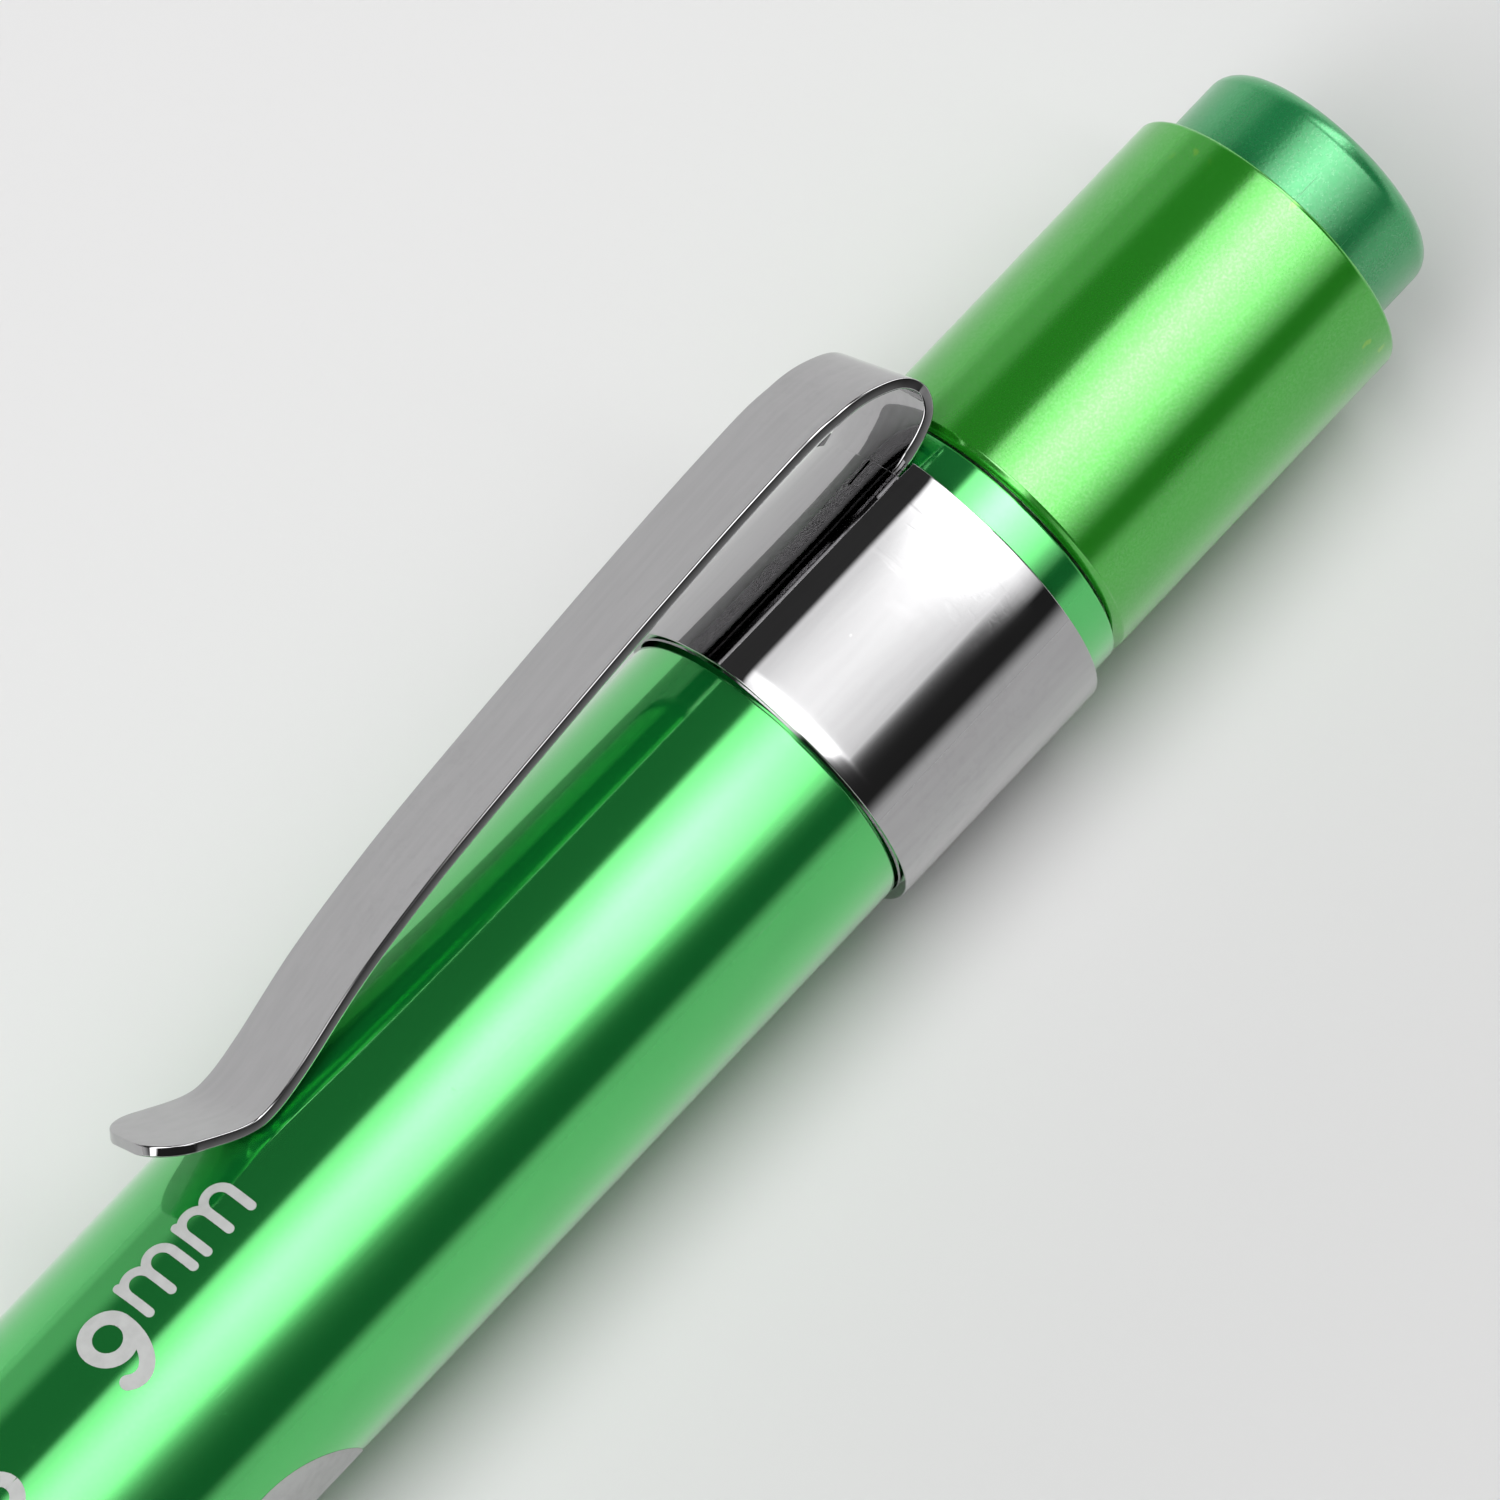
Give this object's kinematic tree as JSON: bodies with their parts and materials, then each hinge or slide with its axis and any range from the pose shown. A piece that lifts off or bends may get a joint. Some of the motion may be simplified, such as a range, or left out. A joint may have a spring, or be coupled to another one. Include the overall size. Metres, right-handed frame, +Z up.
{
  "type": "penlight",
  "caption": "Slim round pocket light with a push button in its screw-on tail cap, a sprung steel pocket clip and a conical nose with a lens.",
  "frame": {"origin": "on the light's axis, at the front edge of the head's straight stretch", "axes": "+X along the axis from the nose to the tail button, +Z up with the light lying down, the clip leaning from +Z towards +Y"},
  "size_m": [0.135, 0.0151, 0.0153],
  "materials": {
    "green_barrel": "bright anodised, green",
    "green_tail": "satin anodised, yellow green",
    "green_button": "satin anodised, blue green",
    "clip_steel": "polished spring steel",
    "spring_steel": "drawn wire",
    "insert_metal": "turned",
    "contact_brass": "turned and stamped",
    "lead_tin": "tinned",
    "clear_lens": "clear moulded",
    "mirror_cup": "plated",
    "led_epoxy": "clear epoxy",
    "holder_plastic": "moulded",
    "black_plastic": "moulded",
    "black_rubber": "moulded",
    "board_green": "varnished",
    "resistor_black": "moulded",
    "cell_label": "printed sleeve",
    "cell_nickel": "nickel plated"
  },
  "bodies": {
    "light_body": {"head_shell": "green_barrel", "lens_gasket": "black_rubber", "lens": "clear_lens", "reflector": "mirror_cup", "led": "led_epoxy", "led_leads": "lead_tin", "led_holder": "holder_plastic", "lead_spacer": "black_plastic", "resistor": "resistor_black", "driver_board": "board_green", "positive_contact": "contact_brass", "board_retainer": "contact_brass", "head_o_ring": "black_rubber", "barrel": "green_barrel", "front_cell_can": "cell_label", "front_cell_seal": "black_plastic", "front_cell_terminal": "cell_nickel", "rear_cell_can": "cell_label", "rear_cell_seal": "black_plastic", "rear_cell_terminal": "cell_nickel", "clip_band": "clip_steel", "retaining_collar": "green_barrel"},
    "clip": {"clip_arm": "clip_steel"},
    "tail_seal": {"tail_o_ring": "black_rubber"},
    "tail": {"tail_cap": "green_tail", "threaded_insert": "insert_metal", "switch_housing": "black_plastic", "contact_plate": "contact_brass", "contact_rivet": "contact_brass", "contact_spring": "spring_steel", "ground_washer": "contact_brass", "return_spring": "spring_steel"},
    "button": {"push_button": "green_button", "plunger": "holder_plastic", "moving_contact": "contact_brass"}
  },
  "joints": [
    {"name": "clip_flex", "type": "hinge", "parent": "light_body", "child": "clip", "pos_m": [0.10724, 0.0056, 0.0058], "axis": [0, 0.7193, -0.6947], "range_deg": [0, 5], "stiffness_Nm_per_rad": 2},
    {"name": "tail_cap_travel", "type": "slide", "parent": "light_body", "child": "tail_seal", "axis": [1, 0, 0], "range_m": [0, 0.004]},
    {"name": "tail_cap_turn", "type": "hinge", "parent": "tail_seal", "child": "tail", "pos_m": [0.1067, 0, 0], "axis": [1, 0, 0], "range_deg": [0, 1440]},
    {"name": "button_press", "type": "slide", "parent": "tail", "child": "button", "axis": [-1, 0, 0], "range_m": [0, 0.002], "stiffness_N_per_m": 700, "deforming": ["return_spring"]}
  ],
  "couplings": [
    {"joint": "tail_cap_travel", "follows": "tail_cap_turn", "m_per_rad": 0.00015915}
  ]
}
